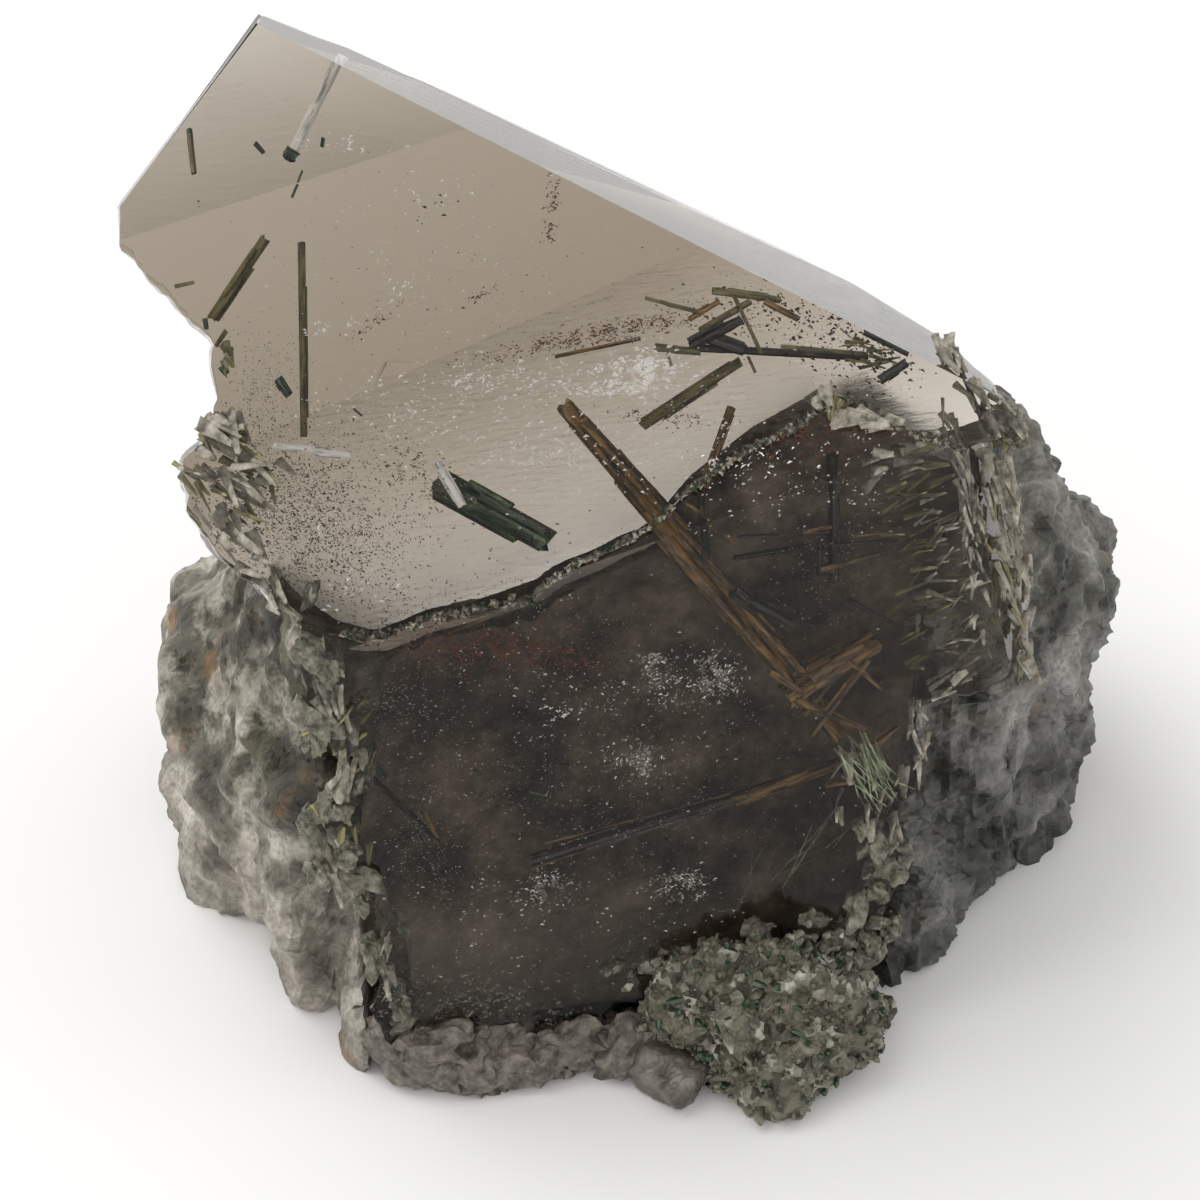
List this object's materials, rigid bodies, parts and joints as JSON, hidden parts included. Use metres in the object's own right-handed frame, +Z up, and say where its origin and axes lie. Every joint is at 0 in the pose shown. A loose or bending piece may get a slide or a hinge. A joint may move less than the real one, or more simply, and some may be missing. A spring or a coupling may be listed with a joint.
{
  "type": "mineral specimen, quartz crystal with epidote inclusions",
  "caption": "Clear smoky quartz crystal on its rough matrix, with dark green and rusty epidote prisms sealed inside it and an epidote crust at its foot",
  "frame": {"origin": "On the flat underside of the matrix, near the middle of the specimen", "axes": "+Z up, +X to the viewer's right and +Y away from a viewer who faces the large sloping crystal face"},
  "size_m": [0.07, 0.0495, 0.0657],
  "materials": {
    "clear_quartz": "polished",
    "epidote": "glassy, dark olive green",
    "rusty_epidote": "dark brown to rust, fibrous",
    "matrix": "rough grey to milky quartz with green and dark patches",
    "milky_quartz": "frosted",
    "green_crust": "knobbly, dull grey-green and yellow-green"
  },
  "bodies": {
    "root": {"quartz_crystal_front": "clear_quartz", "quartz_crystal_back": "clear_quartz", "matrix": "matrix", "quartz_chip": "milky_quartz", "epidote_crust": "green_crust", "epidote_upright_needle": "epidote", "epidote_left_prism": "epidote", "epidote_tip_tube": "epidote", "epidote_edge_needle": "epidote", "epidote_stubby_prism": "epidote", "epidote_cross_needle": "epidote", "epidote_olive_prism": "epidote", "epidote_short_prism": "rusty_epidote", "epidote_dark_post": "epidote", "epidote_level_needle": "epidote", "epidote_lower_prism": "epidote", "epidote_left_spray": "epidote", "epidote_crossed_prisms": "rusty_epidote"}
  },
  "joints": []
}
